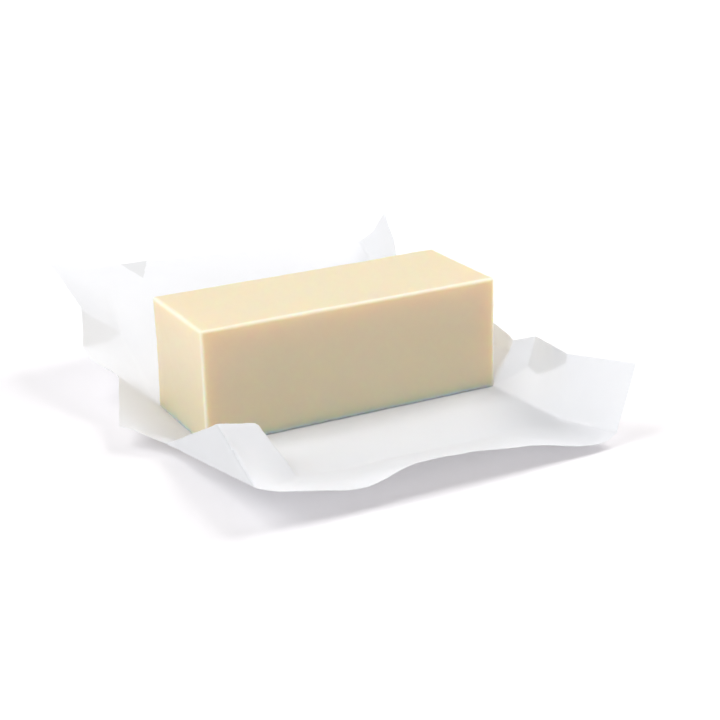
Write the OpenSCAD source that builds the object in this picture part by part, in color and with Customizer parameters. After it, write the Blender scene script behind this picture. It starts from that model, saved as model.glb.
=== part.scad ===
// Pressed chalk block lying on its opened paper wrapper.
// The block is one rounded bar. The wrapper is one creased sheet, built as
// the panels between its creases, so that the front and the back can fold.
// Origin: middle of the rest face under the base panel, +Z up,
// +X along the block, -Y towards the open front of the wrapper.

/* [Block] */
// Length of the block along X
block_l = 109.8; // [100:0.2:109.8]
// Depth of the block along Y
block_w = 43.4; // [36:0.1:43.4]
// Height of the block
block_h = 40.2; // [20:0.2:60]
// Radius of the block's worn edges
edge_r = 1.1; // [0.8:0.1:3]

/* [Wrapper] */
// Thickness of each wrapper panel
paper_t = 0.4; // [0.3:0.05:0.5]
// Gap between panels that fold against each other
crease_gap = 0.5; // [0.4:0.1:0.8]
// Half length of the base between the two end creases
base_x = 54.4; // [54.4:0.1:55.4]
// Half depth of the base between the front and back creases
base_y = 21.4; // [21.4:0.1:22]

/* [Hidden] */

paper = [0.96, 0.97, 0.98];
ivory = [0.93, 0.87, 0.74];
g = crease_gap;
up = [0, 0, paper_t];

// Outline points of the opened sheet, on its upper face, base level at z = 0.
// Front: crease line, lip edge and the raised left pleat.
f_dimple = [-41.7, -61.8, 2];
f_corner = [58, -60, 0];
f_root = [[-38.5, -34, 0], [-39, -50, 0]];
lip = [[-60, -87.4, 12.6], [-56.5, -88.4, 11.5], [-46.5, -89, 9.5], [-34, -89.5, 7.5],
       [-25, -89.5, 8.5], [-17, -89, 10.5], [-8, -89, 11.5], [7, -89, 10.5],
       [22.5, -89, 8.5], [38.5, -88.5, 5.5], [53, -88, 3], [60, -87, 4]];
// Ridge of the pleat from its outer peak down to the lip, then its roots.
pl_side = [-68, -26, 6];
pl_ridge = [[-64, -54.7, 22.5], [-47.5, -47.5, 16.8], [-46.5, -51, 13.5],
            [-43.7, -57, 7.3], [-43.2, -61.6, 2.8]];
pl_edge = [[-61.5, -87.5, 13.2], [-66.5, -88, 15]];
pl_root = [[-55.5, -24, 0.8], [-41, -35, 0.8], [-41.2, -50, 0.8]];
// Front right: standing wall and the flap of the lip.
w_top = [[58, -62, 24], [57, -55, 24.8], [62.8, -35.8, 21.4], [58.5, -29, 18]];
w_mid = [[58.5, -60, 20], [60.9, -48.3, 13.3], [62.8, -37.5, 8], [61.5, -33, 9.5]];
w_foot = [57, -26, 1.5];
flap_tip = [67.5, -86.5, 26.5];
// End panels.
l_end = [[-68.5, -21.4, 4.5], [-79, -7, 8], [-70, 16, 16], [-71, 20.2, 16.5]];
r_mid = [[62.5, -20.6, 10], [65.5, -4, 8], [63.5, 12, 5.5]];
r_end = [[62.5, -20.8, 15], [64, -17, 16], [67, -1, 16], [68, 12, 14], [66.5, 20, 11]];
// Back: panel crease, top edge and the two raised corners.
b_fold = [[-54.5, 57, 16], [0, 59, 15.5], [55, 57, 15]];
b_top = [[-52, 85, 34], [-42, 89, 32.5], [-24, 89.5, 31.8], [-2, 88.5, 31.2],
         [31, 85, 29.5], [55.5, 82.5, 28.3]];
bl_wall = [[-71.5, 24.5, 17.5], [-75, 32.5, 18], [-75, 40, 20], [-63.5, 48.5, 17.3]];
bl_foot = [-58, 26, 3];
bl_flap = [[-63.5, 50.2, 18.8], [-74.6, 41.5, 21.6], [-72, 47, 32],
           [-72, 84.5, 39], [-53.5, 85.4, 34.7]];
br_wall = [[66.5, 25, 13.2], [68, 32, 18], [64.5, 46, 26.5], [58, 53, 28.8]];
br_foot = [57, 26, 3];
br_flap = [[57.5, 55.3, 30], [57.8, 57, 35.5], [58, 64.5, 44],
           [57.3, 73, 34.5], [57, 81.5, 29.5]];

// One creased sheet of constant thickness: p = points of the upper face,
// t = triangles, counter-clockwise seen from above.
function face_n(p, t) = let (c = cross(p[t[1]] - p[t[0]], p[t[2]] - p[t[0]])) c / norm(c);
function total(v, i = 0) = i >= len(v) ? [0, 0, 0] : v[i] + total(v, i + 1);
function unit(v) = v / norm(v);
function point_n(p, ts, i) = unit(total([for (t = ts) if (t[0] == i || t[1] == i || t[2] == i) face_n(p, t)]));
module sheet(p, ts) {
    n = len(p);
    edges = [for (t = ts, k = [0:2]) [t[k], t[(k + 1) % 3]]];
    rim = [for (e = edges) if (len([for (f = edges) if (f[0] == e[1] && f[1] == e[0]) 1]) == 0) e];
    translate(up) polyhedron(
        points = concat(p, [for (i = [0:n - 1]) p[i] - paper_t * point_n(p, ts, i)]),
        faces = concat([for (t = ts) [t[2], t[1], t[0]]],
                       [for (t = ts) [t[0] + n, t[1] + n, t[2] + n]],
                       [for (e = rim) [e[0], e[1], e[1] + n]],
                       [for (e = rim) [e[0], e[1] + n, e[0] + n]]));
}

module block() {
    color(ivory) translate([0, 0, paper_t]) hull()
        for (x = [-1, 1], y = [-1, 1], z = [0, 1])
            translate([x * (block_l / 2 - edge_r), y * (block_w / 2 - edge_r),
                       z == 0 ? edge_r : block_h - edge_r])
                sphere(r = edge_r, $fn = 24);
}

module base_panel() {
    color(paper) translate([-base_x, -base_y, 0])
        cube([2 * base_x, 2 * base_y, paper_t]);
}

module left_end_panel() {
    color(paper) sheet(
        concat([[-base_x - g, -base_y, 0], [-base_x - g, base_y, 0]], l_end),
        [[0, 3, 2], [0, 4, 3], [0, 1, 4], [1, 5, 4]]);
}

module right_end_panel() {
    color(paper) sheet(
        concat([[base_x + g, -base_y, 0], [base_x + g, base_y, 0]], r_mid, r_end),
        [[0, 2, 3], [0, 3, 1], [3, 4, 1], [4, 9, 1], [2, 5, 6], [2, 6, 3],
         [3, 6, 7], [3, 7, 4], [4, 7, 8], [4, 8, 9]]);
}

module front_panel() {
    color(paper) sheet(
        concat([[-base_x + 2, -base_y - g, 0], [base_x, -base_y - g, 0],
                f_corner + [-1, 1, 0], f_dimple + [1.2, 1, -0.6]], f_root),
        [[0, 4, 1], [4, 2, 1], [4, 5, 2], [5, 3, 2]]);
}

module front_lip() {
    color(paper) sheet(
        concat([f_dimple, f_corner], lip),
        concat([for (i = [0:5]) [0, i + 2, i + 3]], [[0, 8, 1]],
               [for (i = [6:10]) [1, i + 2, i + 3]]));
}

module front_left_pleat() {
    color(paper) sheet(
        concat([pl_side], pl_ridge, pl_edge, pl_root),
        [[0, 7, 1], [1, 7, 6], [1, 6, 2], [2, 6, 3], [3, 6, 4], [4, 6, 5],
         [0, 1, 8], [1, 2, 8], [2, 9, 8], [2, 3, 9], [3, 10, 9], [3, 4, 10], [4, 5, 10]]);
}

module front_right_wall() {
    color(paper) sheet(
        concat([w_foot, [59, -58.5, 0.5]], w_mid, w_top),
        [[0, 1, 3], [1, 2, 3], [0, 3, 4], [0, 4, 5], [2, 6, 3], [6, 7, 3],
         [3, 7, 4], [7, 8, 4], [4, 8, 5], [8, 9, 5], [0, 5, 9]]);
}

module front_right_flap() {
    color(paper) sheet(
        [[59, -61.5, 0.8], [61.2, -86.6, 4.6], flap_tip, [58.6, -63, 24]],
        [[0, 1, 2], [0, 2, 3]]);
}

module back_panel() {
    color(paper) sheet(
        concat([[-base_x, base_y + g, 0.3], [base_x, base_y + g, 0.3]], b_fold),
        [[0, 1, 3], [0, 3, 2], [1, 4, 3]]);
}

module back_lip() {
    color(paper) sheet(
        concat([for (q = b_fold) q + [0, 0.5, 0.4]], b_top),
        [[0, 4, 3], [0, 5, 4], [0, 1, 5], [1, 6, 5], [1, 7, 6], [1, 2, 7], [2, 8, 7]]);
}

module back_left_wall() {
    color(paper) sheet(
        concat([bl_foot, [-56.5, 55.5, 15.6]], bl_wall),
        [[0, 5, 2], [0, 1, 5], [2, 5, 3], [3, 5, 4]]);
}

module back_left_flap() {
    color(paper) sheet(
        concat([[-56, 58, 17.6]], bl_flap),
        [[0, 4, 3], [0, 5, 4], [1, 0, 3], [2, 1, 3]]);
}

module back_right_wall() {
    color(paper) sheet(
        concat([br_foot, [56.2, 55.3, 15]], br_wall),
        [[0, 2, 3], [0, 3, 1], [1, 3, 4], [1, 4, 5]]);
}

module back_right_flap() {
    color(paper) sheet(
        concat([[56.8, 58.2, 17]], br_flap),
        [[0, 1, 2], [0, 2, 3], [0, 3, 4], [0, 4, 5]]);
}

block();
base_panel();
left_end_panel();
right_end_panel();
front_panel();
front_lip();
front_left_pleat();
front_right_wall();
front_right_flap();
back_panel();
back_lip();
back_left_wall();
back_left_flap();
back_right_wall();
back_right_flap();
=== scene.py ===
"""Looks for the chalk block lying on its opened paper wrapper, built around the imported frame. Metres, +Z up."""
import math

import bpy
import numpy as np
from mathutils import Matrix, Vector
from mathutils.geometry import delaunay_2d_cdt


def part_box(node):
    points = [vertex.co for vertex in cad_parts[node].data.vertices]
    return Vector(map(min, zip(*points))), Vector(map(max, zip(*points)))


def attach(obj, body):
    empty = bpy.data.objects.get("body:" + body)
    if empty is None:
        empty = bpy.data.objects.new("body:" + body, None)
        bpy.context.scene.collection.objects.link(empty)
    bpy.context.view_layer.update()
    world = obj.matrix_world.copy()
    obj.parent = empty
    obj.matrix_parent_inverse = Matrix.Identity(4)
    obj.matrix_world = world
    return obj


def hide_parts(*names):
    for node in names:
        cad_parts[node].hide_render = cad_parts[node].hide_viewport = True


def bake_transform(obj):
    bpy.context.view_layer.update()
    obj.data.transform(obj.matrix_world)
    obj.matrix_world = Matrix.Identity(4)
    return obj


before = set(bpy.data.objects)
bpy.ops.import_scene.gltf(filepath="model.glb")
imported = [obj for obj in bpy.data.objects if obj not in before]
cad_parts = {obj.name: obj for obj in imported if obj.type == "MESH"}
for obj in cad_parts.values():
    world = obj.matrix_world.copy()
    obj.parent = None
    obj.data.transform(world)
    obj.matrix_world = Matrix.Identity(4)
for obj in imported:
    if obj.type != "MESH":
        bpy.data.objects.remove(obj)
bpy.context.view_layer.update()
scene = bpy.context.scene
MM = 0.001
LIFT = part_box("block")[0].z / MM  # the upper face of the base panel, in mm

# ---------------------------------------------------------------- wrapper
# Control points: name -> (flat u, flat v) where the point lies on the cut sheet, (x, y, z) where it
# lies now. All in mm; z is measured from the face that the block stands on.
P = {
    # front cut edge, left corner to right corner
    "F0": ((-78.4, -91), (-66.5, -88, 15)),
    "F1": ((-70.5, -91), (-61.6, -87.6, 13)),
    "F2": ((-65.2, -91), (-56.8, -88.4, 11.7)),
    "F3": ((-54.3, -91), (-46.3, -88.9, 9.5)),
    "F4": ((-41.8, -91), (-34.2, -89.3, 7.7)),
    "F5": ((-32.7, -91), (-25.3, -89.3, 8.7)),
    "F6": ((-24, -91), (-16.9, -89.2, 10.6)),
    "F7": ((-15, -91), (-8, -89, 11.5)),
    "F8": ((0.5, -91), (7.2, -89, 10.5)),
    "F9": ((16, -91), (22.5, -88.9, 8.5)),
    "F10": ((32.5, -91), (38.5, -88.4, 5.3)),
    "F11": ((47, -91), (53.3, -88.3, 3)),
    "F12": ((54.4, -91), (60.4, -86.8, 4)),
    "F13": ((78.4, -91), (67.2, -86.4, 26.5)),
    # front crease, one block height out
    "H0": ((-78.4, -61), (-65.7, -60.5, 9.3)),
    "H1": ((-50, -61.3), (-41.7, -61.8, 2)),
    "H2": ((-24, -61), (-17, -60.5, 0.3)),
    "H3": ((14.5, -61), (20, -60, 0)),
    "H4": ((54.4, -61), (58, -60, 0)),
    "H5": ((78.4, -61), (58, -62, 24)),
    # left pleat
    "P1": ((-78.4, -21.4), (-68.6, -21.4, 4.6)),
    "P2": ((-67.5, -51), (-64, -54.7, 22.5)),
    "P4": ((-58, -45.5), (-47.5, -47.5, 16.8)),
    "pa": ((-56.5, -50), (-46.5, -51, 13.5)),
    "pb": ((-53, -56.5), (-43.5, -57, 7.3)),
    "G1": ((-46, -33), (-41.5, -33.5, 0.1)),
    "G2": ((-46, -50), (-41.5, -50, 0.1)),
    # base creases
    "bfl": ((-54.4, -21.4), (-54.4, -21.4, 0)),
    "bfm": ((-42, -21.4), (-42, -21.4, 0)),
    "bfr": ((54.4, -21.4), (54.4, -21.4, 0)),
    "bbl": ((-54.4, 21.4), (-54.4, 21.4, 0)),
    "bbr": ((54.4, 21.4), (54.4, 21.4, 0)),
    # left end
    "BL": ((-78.4, -3.5), (-79, -7, 8)),
    "TL": ((-78.4, 17.5), (-70, 16, 16)),
    "TLc": ((-78.4, 21.4), (-71, 20.5, 16.8)),
    # right end
    "e3": ((78.4, -21.4), (58.1, -28, 18.4)),
    "e4": ((78.4, -16), (64, -17, 16)),
    "e5": ((78.4, 0), (67, -1, 16)),
    "e6": ((78.4, 12), (68, 12, 14)),
    "e7": ((78.4, 21.4), (67, 20.5, 11.5)),
    "M1": ((67, -15), (63.5, -19, 11)),
    "M0": ((66, -4), (65.5, -4, 8)),
    "M2": ((64, 12), (63.5, 12, 5.5)),
    # front right wall
    "e1": ((78.4, -53.5), (57, -55, 24.8)),
    "e2": ((78.4, -33), (62.8, -35.8, 21.4)),
    "d1": ((64, -39), (62.8, -37.5, 8)),
    "d2": ((64.5, -32), (62, -32.5, 9.5)),
    "d4": ((69, -49.5), (60.9, -48.3, 13.3)),
    "d3": ((74.4, -60), (58.5, -60, 20)),
    # back left
    "n1": ((-78.4, 34), (-75, 32.5, 18)),
    "n3": ((-78.4, 44), (-75, 40, 20)),
    "n4": ((-78.4, 61), (-72, 47, 32)),
    "Lh": ((-65, 51), (-63.5, 48.5, 17.3)),
    "Hb1": ((-54.4, 61), (-55.5, 57, 16.5)),
    "Hb2": ((0, 61), (0, 59, 15.5)),
    "Hb3": ((54.4, 61), (55, 57, 15)),
    "dt": ((-38.5, 90.5), (-36.5, 82.6, 28.0)),
    # back cut edge
    "A": ((-78.4, 100), (-72, 84.5, 39)),
    "A1": ((-66, 100), (-62, 84.5, 36)),
    "K0": ((-54.4, 100), (-52, 85, 34)),
    "K1": ((-45, 100), (-43, 89, 32.5)),
    "K2": ((-34, 100), (-32, 90, 32.3)),
    "K3": ((-19, 100), (-18, 88.5, 31.5)),
    "K4": ((-4, 100), (-3.5, 88.5, 31.3)),
    "K5": ((8, 100), (6, 88, 30.6)),
    "K6": ((32, 100), (31, 85, 29.5)),
    "K7": ((48, 100), (49, 84, 28.3)),
    "K8": ((54.4, 100), (56, 82.5, 28.3)),
    "Bm": ((67, 100), (57.3, 73, 34.5)),
    "B": ((78.4, 100), (58, 64.5, 44)),
    "r1": ((78.4, 88), (57.5, 56.5, 35)),
    "r2": ((78.4, 80), (57, 54.5, 29.2)),
    "r3": ((78.4, 61), (64, 47, 27)),
    "r4": ((78.4, 40), (68, 32, 18)),
}
# Sharp creases, each a chain of control points.
SHARP = [
    ["H1", "H2", "H3", "H4"], ["F0", "P2", "P1"], ["F1", "H1"], ["P2", "P4", "pa", "pb", "H1"],
    ["bfl", "P2"], ["bfl", "P4"], ["P1", "bfl"], ["bfl", "G1", "G2", "H1"], ["bfl", "bfm", "bfr"],
    ["bfl", "bbl"], ["bfr", "bbr"], ["bbl", "bbr"], ["TLc", "bbl"], ["bfl", "BL"],
    ["bfr", "H4", "F12"], ["H4", "d3", "H5"], ["bfr", "e3"], ["e3", "M1", "M0", "M2", "bbr"],
    ["bfr", "d2"], ["e2", "d2", "d1", "d4", "d3"],
    ["bbl", "Hb1", "K0"], ["n4", "Hb1", "Lh", "n3"], ["Lh", "bbl"],
    ["Hb1", "Hb2", "Hb3"], ["bbr", "Hb3", "K8"], ["e7", "bbr"], ["Hb3", "r3"],
    ["K1", "dt", "K2"],
]
# Painted shade: on these patches the paper takes a darker colour and lets less light through. The lower translucency
# stands for paper lying double in a pleat; the darker colour paints the shade on the right wall's dark facet, the
# grey pleat triangle and the dent. Corners of each such patch.
SHADE_PATCHES = [(1, ["e2", "d2", "d1", "d4", "d3", "H5", "e1"]), (2, ["F0", "P2", "P1", "H0"]), (2, ["K1", "dt", "K2"])]
# The cut edge of the sheet, all the way round.
RIM = [["F%d" % i for i in range(14)], ["F13", "H5", "e1", "e2", "e3", "e4", "e5", "e6", "e7", "r4", "r3", "r2", "r1", "B"],
       ["B", "Bm", "K8", "K7", "K6", "K5", "K4", "K3", "K2", "K1", "K0", "A1", "A"],
       ["A", "n4", "n3", "n1", "TLc", "TL", "BL", "P1", "H0", "F0"]]
SMOOTH_RIM = [["F%d" % i for i in range(0, 13)], ["K8", "K7", "K6", "K5", "K4", "K3", "K2", "K1", "K0"]]


def build_sheet(step):
    """The sheet as points (flat, placed) and triangles, fine enough to bend."""
    names = list(P)
    flat = [Vector(P[n][0]) for n in names]
    spot = np.array([P[n][1] for n in names], float)
    at = {n: i for i, n in enumerate(names)}
    chains = SHARP + RIM
    edges = [(at[a], at[b]) for c in chains for a, b in zip(c, c[1:])]
    cv, ce, cf, ov, oe, of = delaunay_2d_cdt(flat, edges, [], 0, 1e-4)
    assert len(cv) == len(names), (len(cv), len(names), [names[o[0]] for o in ov if len(o) != 1])
    order = [o[0] for o in ov]
    cflat = np.array([list(v) for v in cv])
    cspot = spot[order]
    tris = np.array([f for f in cf])
    # fine points: along each chain, then a staggered grid kept clear of the chains
    pts, seg, kind = [], [], []
    key = {}

    def point(q, k):
        h = (round(q[0], 4), round(q[1], 4))
        if h not in key:
            key[h] = len(pts)
            pts.append(q)
            kind.append(k)
        else:
            kind[key[h]] = max(kind[key[h]], k)
        return key[h]

    lines = []
    for c, k in [(c, 1) for c in SHARP] + [(c, 2) for c in RIM]:
        for a, b in zip(c, c[1:]):
            pa, pb = np.array(P[a][0], float), np.array(P[b][0], float)
            n = max(1, int(round(np.linalg.norm(pb - pa) / step)))
            ids = [point(tuple(pa + (pb - pa) * i / n), k) for i in range(n + 1)]
            seg += list(zip(ids, ids[1:]))
            lines.append((pa, pb))
    rng = np.random.default_rng(7)
    us = np.arange(-78.4 + step, 78.4, step)
    vs = np.arange(-91 + step * 0.87, 100, step * 0.866)
    grid = np.array([(u + (0.5 * step if j % 2 else 0), v) for j, v in enumerate(vs) for u in us])
    grid += rng.uniform(-0.12, 0.12, grid.shape) * step
    d = np.full(len(grid), 1e9)
    for pa, pb in lines:
        e = pb - pa
        t = np.clip(((grid - pa) @ e) / (e @ e), 0, 1)
        d = np.minimum(d, np.linalg.norm(grid - (pa + t[:, None] * e), axis=1))
    inside = (grid[:, 0] < 78) & (grid[:, 0] > -78) & (grid[:, 1] < 99.6) & (grid[:, 1] > -90.6)
    for q in grid[(d > 0.55 * step) & inside]:
        point(tuple(q), 0)
    fv, fe, ff, ofv, ofe, off = delaunay_2d_cdt([Vector(q) for q in pts], seg, [], 0, 1e-5)
    fflat = np.array([list(v) for v in fv])
    fkind = np.array([max(kind[i] for i in o) if o else 1 for o in ofv])
    # each fine point sits in one control triangle
    placed = np.zeros((len(fflat), 3))
    best = np.full(len(fflat), -1e9)
    for t in tris:
        a, b, c = cflat[t]
        m = np.array([b - a, c - a]).T
        if abs(np.linalg.det(m)) < 1e-6:
            continue
        w = np.linalg.solve(m, (fflat - a).T).T
        bary = np.stack([1 - w[:, 0] - w[:, 1], w[:, 0], w[:, 1]], 1)
        inn = bary.min(1)
        use = inn > best
        placed[use] = np.clip(bary[use], 0, 1) @ cspot[t]
        best[use] = inn[use]
    faces = np.array([f for f in ff])
    e1 = fflat[faces[:, 1]] - fflat[faces[:, 0]]
    e2 = fflat[faces[:, 2]] - fflat[faces[:, 0]]
    area = e1[:, 0] * e2[:, 1] - e1[:, 1] * e2[:, 0]
    faces[area < 0] = faces[area < 0][:, ::-1]
    faces = faces[np.abs(area) > 1e-4]
    return fflat, placed, faces, fkind


def neighbours(n, faces):
    e = np.vstack([faces[:, [0, 1]], faces[:, [1, 2]], faces[:, [2, 0]]])
    e = np.unique(np.sort(e, axis=1), axis=0)
    i = np.concatenate([e[:, 0], e[:, 1]])
    j = np.concatenate([e[:, 1], e[:, 0]])
    deg = np.bincount(i, minlength=n)
    return i, j, deg, e


def averaged(x, i, j, deg):
    out = np.zeros_like(x)
    for k in range(x.shape[1]):
        out[:, k] = np.bincount(i, weights=x[j, k], minlength=len(x))
    return out / deg[:, None]


def spline(points, t):
    """Catmull-Rom through points, at t from 0 to len - 1."""
    p = np.vstack([2 * points[0] - points[1], points, 2 * points[-1] - points[-2]])
    k = np.clip(np.floor(t).astype(int), 0, len(points) - 2)
    f = (t - k)[:, None]
    a, b, c, d = p[k], p[k + 1], p[k + 2], p[k + 3]
    return 0.5 * (2 * b + (c - a) * f + (2 * a - 5 * b + 4 * c - d) * f ** 2 + (3 * b - a - 3 * c + d) * f ** 3)


def normals_of(x, faces):
    n = np.cross(x[faces[:, 1]] - x[faces[:, 0]], x[faces[:, 2]] - x[faces[:, 0]])
    out = np.zeros_like(x)
    for k in range(3):
        for c in range(3):
            out[:, k] += np.bincount(faces[:, c], weights=n[:, k], minlength=len(x))
    return out / np.linalg.norm(out, axis=1)[:, None]


STEP = 1.0
flat, x, faces, kind = build_sheet(STEP)
# the long cut edges run in smooth waves
for chain in SMOOTH_RIM:
    ctrl_f = np.array([P[n][0] for n in chain], float)
    ctrl_x = np.array([P[n][1] for n in chain], float)
    row = abs(ctrl_f[0, 1])
    on = (np.abs(np.abs(flat[:, 1]) - row) < 1e-3) & (flat[:, 1] * ctrl_f[0, 1] > 0)
    lo, hi = sorted([ctrl_f[0, 0], ctrl_f[-1, 0]])
    on &= (flat[:, 0] >= lo - 1e-6) & (flat[:, 0] <= hi + 1e-6)
    seq = np.argsort(ctrl_f[:, 0])
    t = np.interp(flat[on, 0], ctrl_f[seq, 0], np.arange(len(seq)))
    x[on] = spline(ctrl_x[seq], t)
i, j, deg, edge = neighbours(len(x), faces)
free = kind == 0
base = (np.abs(flat[:, 0]) < 54.4) & (np.abs(flat[:, 1]) < 21.4)
free &= ~base
for _ in range(160):
    x[free] = averaged(x, i, j, deg)[free]

# soft unevenness of handled paper, none of it under the block
rng = np.random.default_rng(21)


def waves(q, count, low, high, seed):
    r = np.random.default_rng(seed)
    out = np.zeros(len(q))
    for _ in range(count):
        a = r.uniform(0, 2 * math.pi)
        k = 2 * math.pi / r.uniform(low, high)
        out += np.sin(q @ np.array([math.cos(a), math.sin(a)]) * k + r.uniform(0, 6.28))
    return out / math.sqrt(count)


away = np.clip(np.maximum((np.abs(flat[:, 0]) - 55) / 6, (np.abs(flat[:, 1]) - 22) / 8), 0, 1)
away = away * away * (3 - 2 * away)
calm = 1 - 0.75 * np.clip((60 - np.abs(flat[:, 0] - 8)) / 12, 0, 1) * np.clip((flat[:, 1] + 68) / 8, 0, 1) * (flat[:, 1] < 0)
lift = (0.28 * waves(flat, 9, 22, 48, 3) + 0.10 * waves(flat, 9, 8, 16, 5)) * calm
# faint straight creases left by handling
for _ in range(26):
    c = np.array([rng.uniform(-78, 78), rng.uniform(-91, 100)])
    a = rng.uniform(0, math.pi)
    d = np.array([math.cos(a), math.sin(a)])
    half = rng.uniform(8, 26)
    rel = flat - c
    s = rel @ d
    off = rel @ np.array([-d[1], d[0]])
    fade = np.clip(1 - (np.abs(s) / half) ** 2, 0, 1)
    lift += calm * rng.choice([-1, 1]) * rng.uniform(0.1, 0.3) * fade * np.exp(-np.abs(off) / rng.uniform(0.8, 2.5))
nrm = normals_of(x, faces)
x = x + nrm * (lift * away)[:, None]
for _ in range(2):
    m = averaged(x, i, j, deg)
    keep = kind == 2
    x = np.where(keep[:, None], x, 0.5 * x + 0.5 * m)
x[:, 2] = np.maximum(x[:, 2], -LIFT + 0.16)
nrm = normals_of(x, faces)
x[:, 2] += LIFT
THICK = 0.14


def paper_piece(name, mask):
    """One stretch of the sheet with its two faces and its cut edge; mask picks triangles."""
    f = faces[mask]
    used = np.unique(f)
    back = np.full(len(x), -1)
    back[used] = np.arange(len(used))
    g = back[f]
    top = x[used]
    low = top - nrm[used] * THICK
    n = len(used)
    half = np.vstack([g[:, [0, 1]], g[:, [1, 2]], g[:, [2, 0]]])
    code = half[:, 0] * n + half[:, 1]
    twin = np.isin(code, half[:, 1] * n + half[:, 0])
    rim = half[~twin]
    quads = np.stack([rim[:, 1], rim[:, 0], rim[:, 0] + n, rim[:, 1] + n], 1)
    verts = np.vstack([top, low]) * MM
    polys = [tuple(t) for t in g] + [tuple(t[::-1] + n) for t in g] + [tuple(q) for q in quads]
    me = bpy.data.meshes.new(name)
    me.from_pydata([tuple(v) for v in verts], [], polys)
    # painted shade: the shade patches get the darker paper materials
    me.polygons.foreach_set("material_index", np.concatenate([shade_slot[mask], shade_slot[mask], np.zeros(len(quads), int)]).astype(np.int32))
    me.validate()
    uv = me.uv_layers.new(name="flat")
    ff = np.vstack([flat[used], flat[used]])
    loop = np.zeros(len(me.loops), np.int32)
    me.loops.foreach_get("vertex_index", loop)
    uv.data.foreach_set("uv", (ff[loop] * MM).astype(np.float32).ravel())
    ob = bpy.data.objects.new(name, me)
    scene.collection.objects.link(ob)
    me.polygons.foreach_set("use_smooth", np.array([True] * (2 * len(g)) + [False] * len(quads)))
    vn = np.vstack([nrm[used], -nrm[used]])
    ln = vn[loop]
    starts = np.zeros(len(me.polygons), np.int32)
    me.polygons.foreach_get("loop_start", starts)
    first = starts[2 * len(g)] if len(quads) else len(loop)
    fn = np.array([tuple(p.normal) for p in me.polygons])[2 * len(g):]
    ln[first:] = np.repeat(fn, 4, axis=0)
    me.normals_split_custom_set([tuple(v) for v in ln])
    return ob


cen = flat[faces].mean(1)
# painted shade: mark the triangles that take the darker paper
shade_slot = np.zeros(len(faces), int)
for shade, patch in SHADE_PATCHES:
    ring = np.array([P[n][0] for n in patch], float)
    hit = np.zeros(len(faces), bool)
    for p, q in zip(ring, np.roll(ring, -1, axis=0)):
        cross = (p[1] > cen[:, 1]) != (q[1] > cen[:, 1])
        hit ^= cross & (cen[:, 0] < p[0] + (q[0] - p[0]) * (cen[:, 1] - p[1]) / (q[1] - p[1] if q[1] != p[1] else 1))
    shade_slot[hit] = shade
SEAM = 19.0
front = paper_piece("wrapper_front", cen[:, 1] < -SEAM)
middle = paper_piece("wrapper_base", np.abs(cen[:, 1]) <= SEAM)
rear = paper_piece("wrapper_back", cen[:, 1] > SEAM)

# ---------------------------------------------------------------- block
lo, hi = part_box("block")


def make_block():
    """A pressed bar: rounded, slightly uneven edges and faintly dished faces."""
    size = (hi - lo) / MM
    r = 1.1
    n = (110, 44, 42)

    def axis(length, count):
        inner = np.linspace(-length / 2 + r, length / 2 - r, count)
        a = np.linspace(0, math.pi / 2, 6)[1:]
        side = length / 2 - r + r * np.sin(a)
        return np.concatenate([-side[::-1], inner, side])

    ax = [axis(size[k], n[k]) for k in range(3)]
    verts, polys, key = [], [], {}

    def vid(q):
        h = tuple(np.round(q, 4))
        if h not in key:
            key[h] = len(verts)
            verts.append(q)
        return key[h]

    for k in range(3):
        a, b = [m for m in range(3) if m != k]
        for s in (-1, 1):
            ids = np.zeros((len(ax[a]), len(ax[b])), int)
            for ia, va in enumerate(ax[a]):
                for ib, vb in enumerate(ax[b]):
                    q = [0, 0, 0]
                    q[k], q[a], q[b] = s * size[k] / 2, va, vb
                    ids[ia, ib] = vid(q)
            for ia in range(len(ax[a]) - 1):
                for ib in range(len(ax[b]) - 1):
                    quad = [ids[ia, ib], ids[ia + 1, ib], ids[ia + 1, ib + 1], ids[ia, ib + 1]]
                    flip = (s < 0) != (k == 1)
                    polys.append(quad[::-1] if flip else quad)
    v = np.array(verts, float)
    # the lower edges are still crisp, where the paper kept them
    foot = np.clip((v[:, 2] + size[2] / 2) / 9, 0, 1)
    rr = (0.35 + (r - 0.35) * foot * foot * (3 - 2 * foot))[:, None]
    core = np.array(size)[None, :] / 2 - rr
    inner = np.clip(v, -core, core)
    out = v - inner
    d = np.linalg.norm(out, axis=1)
    v = inner + out / d[:, None] * rr
    # faint unevenness of a cast face, fading to the edges' own wobble
    q3 = np.stack([v[:, 0], v[:, 1] * 1.3 + 11, v[:, 2] * 1.2 - 7], 1)

    def field(seed, low, high, count=8):
        rr = np.random.default_rng(seed)
        acc = np.zeros(len(v))
        for _ in range(count):
            k = rr.normal(size=3)
            k *= 2 * math.pi / np.linalg.norm(k) / rr.uniform(low, high)
            acc += np.sin(q3 @ k + rr.uniform(0, 6.28))
        return acc / math.sqrt(count)

    shift = 0.10 * field(1, 25, 60) + 0.035 * field(2, 5, 11) + 0.02 * field(4, 2, 4)
    nn = out / d[:, None]
    v = v + nn * (shift - 0.12)[:, None]
    v[:, 2] = np.maximum(v[:, 2], -size[2] / 2)
    v += np.array([(lo[k] + hi[k]) / 2 / MM for k in range(3)])
    me = bpy.data.meshes.new("chalk_bar")
    me.from_pydata([tuple(p) for p in v * MM], [], polys)
    me.validate()
    me.polygons.foreach_set("use_smooth", [True] * len(me.polygons))
    ob = bpy.data.objects.new("chalk_bar", me)
    scene.collection.objects.link(ob)
    return ob


bar = make_block()


# ---------------------------------------------------------------- materials
def nodes_of(name):
    m = bpy.data.materials.new(name)
    m.use_nodes = True
    t = m.node_tree
    return m, t, t.nodes["Principled BSDF"]


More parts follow.
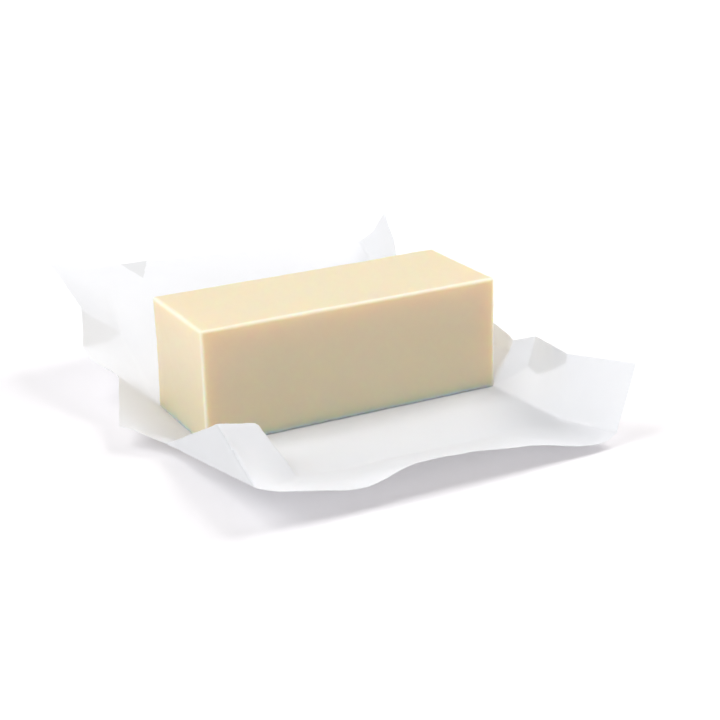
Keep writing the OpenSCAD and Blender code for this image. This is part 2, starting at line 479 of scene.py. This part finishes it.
def noise(t, scale, detail=3.0, rough=0.5, coord="Object", stretch=None):
    tc = t.nodes.new("ShaderNodeTexCoord")
    nz = t.nodes.new("ShaderNodeTexNoise")
    nz.inputs["Scale"].default_value = scale
    nz.inputs["Detail"].default_value = detail
    nz.inputs["Roughness"].default_value = rough
    src = tc.outputs[coord]
    if stretch:
        mp = t.nodes.new("ShaderNodeMapping")
        mp.inputs["Scale"].default_value = stretch
        t.links.new(src, mp.inputs["Vector"])
        src = mp.outputs["Vector"]
    t.links.new(src, nz.inputs["Vector"])
    return nz


def ramp(t, source, stops):
    r = t.nodes.new("ShaderNodeValToRGB")
    el = r.color_ramp.elements
    while len(el) < len(stops):
        el.new(0.5)
    for e, (p, c) in zip(el, stops):
        e.position = p
        e.color = (*c, 1)
    t.links.new(source, r.inputs["Fac"])
    return r


def paper_material(name, tint, share):
    m, t, b = nodes_of(name)
    cloud = noise(t, 38, 4, 0.55)
    # a tint below 1 darkens the paper: painted shade
    col = ramp(t, cloud.outputs["Fac"], [(0.3, (0.966 * tint, 0.973 * tint, 0.988 * tint)), (0.7, (0.976 * tint, 0.982 * tint, 0.993 * tint))])
    t.links.new(col.outputs["Color"], b.inputs["Base Color"])
    rough = t.nodes.new("ShaderNodeMapRange")
    rough.inputs["To Min"].default_value = 0.38
    rough.inputs["To Max"].default_value = 0.5
    t.links.new(cloud.outputs["Fac"], rough.inputs["Value"])
    t.links.new(rough.outputs["Result"], b.inputs["Roughness"])
    fibre = noise(t, 900, 3, 0.6, stretch=(1, 2.6, 1))
    bump = t.nodes.new("ShaderNodeBump")
    bump.inputs["Strength"].default_value = 0.12
    bump.inputs["Distance"].default_value = 0.0002
    t.links.new(fibre.outputs["Fac"], bump.inputs["Height"])
    t.links.new(bump.outputs["Normal"], b.inputs["Normal"])
    b.inputs["Specular IOR Level"].default_value = 0.35
    # thin paper lets much of the light through
    through = t.nodes.new("ShaderNodeBsdfTranslucent")
    t.links.new(col.outputs["Color"], through.inputs["Color"])
    mix = t.nodes.new("ShaderNodeMixShader")
    mix.inputs["Fac"].default_value = share
    t.links.new(b.outputs["BSDF"], mix.inputs[1])
    t.links.new(through.outputs["BSDF"], mix.inputs[2])
    t.links.new(mix.outputs["Shader"], t.nodes["Material Output"].inputs["Surface"])
    return m


def bar_material():
    m, t, b = nodes_of("pressed_bar")
    cloud = noise(t, 22, 5, 0.55)
    col = ramp(t, cloud.outputs["Fac"], [(0.25, (0.812, 0.705, 0.487)), (0.75, (0.842, 0.735, 0.522))])
    # painted highlight: the thin edges are paler, standing in for light glinting off the rounded edges; how near a
    # point lies to its second nearest face sets how much
    tc = t.nodes.new("ShaderNodeTexCoord")
    mid = t.nodes.new("ShaderNodeVectorMath")
    mid.operation = "SUBTRACT"
    mid.inputs[1].default_value = (lo + hi) / 2
    size = t.nodes.new("ShaderNodeVectorMath")
    size.operation = "ABSOLUTE"
    gap = t.nodes.new("ShaderNodeVectorMath")
    gap.operation = "SUBTRACT"
    gap.inputs[0].default_value = (hi - lo) / 2
    split = t.nodes.new("ShaderNodeSeparateXYZ")
    t.links.new(tc.outputs["Object"], mid.inputs[0])
    t.links.new(mid.outputs["Vector"], size.inputs[0])
    t.links.new(size.outputs["Vector"], gap.inputs[1])
    t.links.new(gap.outputs["Vector"], split.inputs[0])

    def pick(kind, p, q):
        n = t.nodes.new("ShaderNodeMath")
        n.operation = kind
        t.links.new(p, n.inputs[0])
        t.links.new(q, n.inputs[1])
        return n.outputs[0]

    gx, gy, gz = split.outputs
    second = pick("MAXIMUM", pick("MINIMUM", gx, gy), pick("MINIMUM", pick("MAXIMUM", gx, gy), gz))
    pale = t.nodes.new("ShaderNodeMapRange")
    pale.interpolation_type = "SMOOTHSTEP"
    pale.inputs["From Min"].default_value = 0.0002
    pale.inputs["From Max"].default_value = 0.0017
    pale.inputs["To Min"].default_value = 0.75
    pale.inputs["To Max"].default_value = 0.0
    t.links.new(second, pale.inputs["Value"])
    edge_highlight_mix = t.nodes.new("ShaderNodeMix")
    edge_highlight_mix.data_type = "RGBA"
    t.links.new(pale.outputs["Result"], edge_highlight_mix.inputs["Factor"])
    t.links.new(col.outputs["Color"], edge_highlight_mix.inputs[6])
    # painted highlight colour along the edges
    edge_highlight_mix.inputs[7].default_value = (0.95, 0.90, 0.80, 1)
    t.links.new(edge_highlight_mix.outputs[2], b.inputs["Base Color"])
    b.inputs["Subsurface Weight"].default_value = 1.0
    b.inputs["Subsurface Radius"].default_value = (1.0, 0.5, 0.2)
    b.inputs["Subsurface Scale"].default_value = 0.009
    fine = noise(t, 1400, 4, 0.6)
    bump = t.nodes.new("ShaderNodeBump")
    bump.inputs["Strength"].default_value = 0.15
    bump.inputs["Distance"].default_value = 0.0002
    t.links.new(fine.outputs["Fac"], bump.inputs["Height"])
    t.links.new(bump.outputs["Normal"], b.inputs["Normal"])
    b.inputs["Roughness"].default_value = 0.38
    b.inputs["Specular IOR Level"].default_value = 0.5
    return m


paper_m, bar_m = paper_material("wrapping_paper", 1.0, 0.48), bar_material()
# darker copies of the paper: painted shade on the pleat facets and the dent
shaded_paper_m = paper_material("wrapping_paper_painted_shade", 0.96, 0.2)
deep_shaded_paper_m = paper_material("wrapping_paper_painted_deep_shade", 0.87, 0.15)
for ob in (front, middle, rear):
    ob.data.materials.append(paper_m)
    ob.data.materials.append(shaded_paper_m)
    ob.data.materials.append(deep_shaded_paper_m)
bar.data.materials.append(bar_m)

# ---------------------------------------------------------------- frame
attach(bar, "block")
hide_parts("block")
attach(middle, "base")
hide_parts("base_panel", "left_end_panel", "right_end_panel")
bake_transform(front)
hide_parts("front_panel", "front_lip", "front_left_pleat", "front_right_wall", "front_right_flap")
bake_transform(rear)
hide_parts("back_panel", "back_lip", "back_left_wall", "back_left_flap", "back_right_wall", "back_right_flap")

# ---------------------------------------------------------------- stage
fm, t, b = nodes_of("floor")
b.inputs["Roughness"].default_value = 0.9
b.inputs["Specular IOR Level"].default_value = 0.0
cl = noise(t, 3, 2)
fc = ramp(t, cl.outputs["Fac"], [(0.3, (0.97, 0.948, 0.962)), (0.7, (0.975, 0.953, 0.967))])
t.links.new(fc.outputs["Color"], b.inputs["Base Color"])
# the white sweep brightens away from the object, where the lamps thin out
where = t.nodes.new("ShaderNodeSeparateXYZ")
t.links.new(t.nodes.new("ShaderNodeTexCoord").outputs["Object"], where.inputs[0])
glow = t.nodes.new("ShaderNodeMapRange")
glow.inputs["From Min"].default_value = 0.4
glow.inputs["From Max"].default_value = 1.1
glow.inputs["To Min"].default_value = 0.0
glow.inputs["To Max"].default_value = 0.4
t.links.new(where.outputs["Y"], glow.inputs["Value"])
b.inputs["Emission Color"].default_value = (1, 1, 1, 1)
t.links.new(glow.outputs["Result"], b.inputs["Emission Strength"])
me = bpy.data.meshes.new("floor")
s = 6.0
me.from_pydata([(-s, -s, 0), (s, -s, 0), (s, s, 0), (-s, s, 0)], [], [(0, 1, 2, 3)])
floor = bpy.data.objects.new("floor", me)
scene.collection.objects.link(floor)
me.materials.append(fm)

world = bpy.data.worlds.new("studio")
scene.world = world
world.use_nodes = True
bg = world.node_tree.nodes["Background"]
bg.inputs["Color"].default_value = (1.0, 0.97, 0.94, 1)
bg.inputs["Strength"].default_value = 0.32


def area(name, size, energy, place, target=(0, 0, 0.01), color=(1, 1, 1)):
    li = bpy.data.lights.new(name, "AREA")
    li.shape = "RECTANGLE"
    li.size, li.size_y = size
    li.energy = energy
    li.color = color
    o = bpy.data.objects.new(name, li)
    scene.collection.objects.link(o)
    o.location = place
    o.rotation_euler = (Vector(target) - Vector(place)).to_track_quat("-Z", "Y").to_euler()
    return o


area("top", (1.6, 1.0), 3.15, (0, 0, 1.4))
area("top_left", (0.8, 0.8), 7.4, (-0.8, 0, 1.1), color=(0.975, 0.988, 1.0))
area("top_right", (0.8, 0.8), 7.7, (0.8, 0, 1.1), color=(0.99, 0.995, 1.0))
area("left", (1.2, 1.0), 4.6, (-1.4, 0.1, 0.7), color=(0.88, 0.945, 1.0))
area("right", (1.2, 1.0), 3.9, (1.4, 0.1, 0.7))
area("back", (1.6, 0.8), 0.4, (0.1, 1.6, 0.6))
area("far", (2.4, 1.6), 2.3, (0.9, 2.1, 1.0), target=(0.9, 2.1, 0))

scene.view_settings.view_transform = "Standard"

# camera: fitted to the bar's corners, then raised by the paper under it
cam = bpy.data.cameras.new("camera")
cam.sensor_width = 36
cam.lens = 79.26
cam.clip_start = 0.01
co = bpy.data.objects.new("camera", cam)
scene.collection.objects.link(co)
yaw, pitch, roll = map(math.radians, (-26.932, 19.897, -1.501))
f = Vector((0, math.cos(pitch), -math.sin(pitch)))
rt = Vector((1, 0, 0))
up = rt.cross(f)
turn = Matrix.Rotation(yaw, 3, "Z")
f, rt, up = turn @ f, turn @ rt, turn @ up
c, sn = math.cos(roll), math.sin(roll)
r2, u2 = c * rt + sn * up, -sn * rt + c * up
co.matrix_world = Matrix.Translation((-0.22510, -0.46819, 0.20117 + LIFT * MM)) @ Matrix((r2, u2, -f)).transposed().to_4x4()
scene.camera = co
